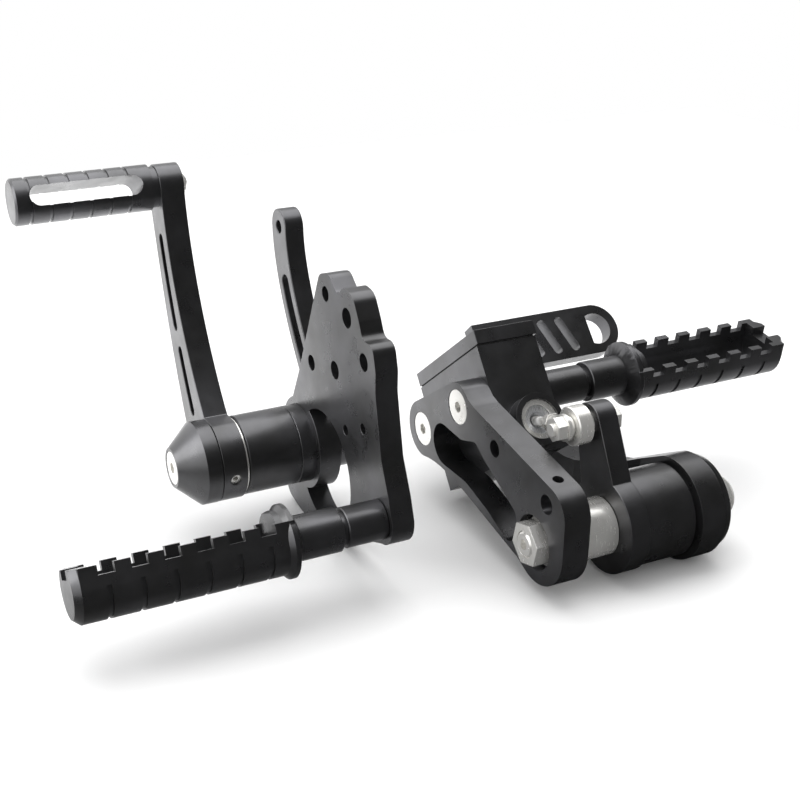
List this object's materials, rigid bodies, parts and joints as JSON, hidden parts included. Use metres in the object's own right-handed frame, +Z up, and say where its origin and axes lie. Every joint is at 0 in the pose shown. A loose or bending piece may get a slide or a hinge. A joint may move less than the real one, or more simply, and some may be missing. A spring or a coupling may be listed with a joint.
{
  "type": "motorcycle forward controls",
  "caption": "Billet forward controls for a motorcycle: a shifter half with lever, toe peg and foot peg, and a brake half with pedal, master cylinder and foot peg, set apart as a pair.",
  "frame": {"origin": "middle of the set's box, on the surface it stands on", "axes": "+X from the left half to the right half, along both pivots; +Y to the front of the motorcycle; +Z up"},
  "size_m": [0.3816, 0.2102, 0.1662],
  "materials": {
    "black_anodised": "satin black anodised",
    "bright_steel": "bright zinc and polished",
    "bronze": "machined bronze",
    "bare_aluminium": "machined",
    "seal": "matt"
  },
  "bodies": {
    "frame": {"shift_plate": "black_anodised", "shift_housing": "black_anodised", "shift_bush_outer": "bronze", "shift_bush_inner": "bronze", "left_peg_mount": "black_anodised", "left_peg_collar": "black_anodised", "left_footpeg": "black_anodised", "left_peg_bolt": "bright_steel", "brake_bracket": "black_anodised", "pivot_bolt": "bright_steel", "pivot_lock_nut": "bright_steel", "spacer_sleeve": "bright_steel", "end_cap": "black_anodised", "cylinder_body": "black_anodised", "reservoir_lid": "black_anodised", "lid_gasket": "seal", "lid_screws": "bright_steel", "piston_spring": "bright_steel", "bore_circlip": "bright_steel", "cylinder_screw": "bright_steel", "right_peg_mount": "black_anodised", "right_peg_collar": "black_anodised", "right_footpeg": "black_anodised", "right_peg_bolt": "bright_steel"},
    "shifter": {"shift_lever": "black_anodised", "lever_set_screw": "bright_steel", "hub_washer": "bright_steel", "pivot_cap": "black_anodised", "cap_screw": "bright_steel", "shift_peg": "black_anodised", "shift_peg_screw": "bright_steel", "shift_shaft": "bright_steel", "linkage_arm": "black_anodised", "linkage_arm_screw": "bright_steel"},
    "brake_pedal": {"actuating_lever": "black_anodised", "pedal_hub_tube": "black_anodised", "pedal_bush_inner": "bronze", "pedal_bush_outer": "bronze", "pedal_arm": "black_anodised", "pedal_pad": "black_anodised", "pad_screws": "bright_steel", "rod_end_bolt": "bright_steel", "rod_end_nut": "bright_steel", "rod_end_washers": "bright_steel", "rod_end_ball": "bright_steel"},
    "pushrod": {"rod_end": "bright_steel", "pushrod": "bright_steel", "pushrod_nut": "bright_steel"},
    "piston": {"piston": "bare_aluminium"}
  },
  "joints": [
    {"name": "shift_lever_pivot", "type": "hinge", "parent": "frame", "child": "shifter", "pos_m": [-0.10072, 0.03498, 0.03795], "axis": [1, 0, 0], "range_deg": [-14, 14]},
    {"name": "brake_pedal_pivot", "type": "hinge", "parent": "frame", "child": "brake_pedal", "pos_m": [0.08533, -0.08077, 0.0243], "axis": [1, 0, 0], "range_deg": [-8, 0], "stiffness_Nm_per_rad": 2.5, "springref_deg": 9.17},
    {"name": "pushrod_pivot", "type": "hinge", "parent": "brake_pedal", "child": "pushrod", "pos_m": [0.03523, -0.06567, 0.0682], "axis": [1, 0, 0], "range_deg": [-0.5, 5.6]},
    {"name": "piston_slide", "type": "slide", "parent": "frame", "child": "piston", "axis": [0, 0.8049, -0.5934], "range_m": [-0.0002, 0.0069]}
  ],
  "couplings": [
    {"joint": "pushrod_pivot", "follows": "brake_pedal_pivot", "ratio": -0.66},
    {"joint": "piston_slide", "follows": "brake_pedal_pivot", "m_per_rad": -0.0484}
  ]
}
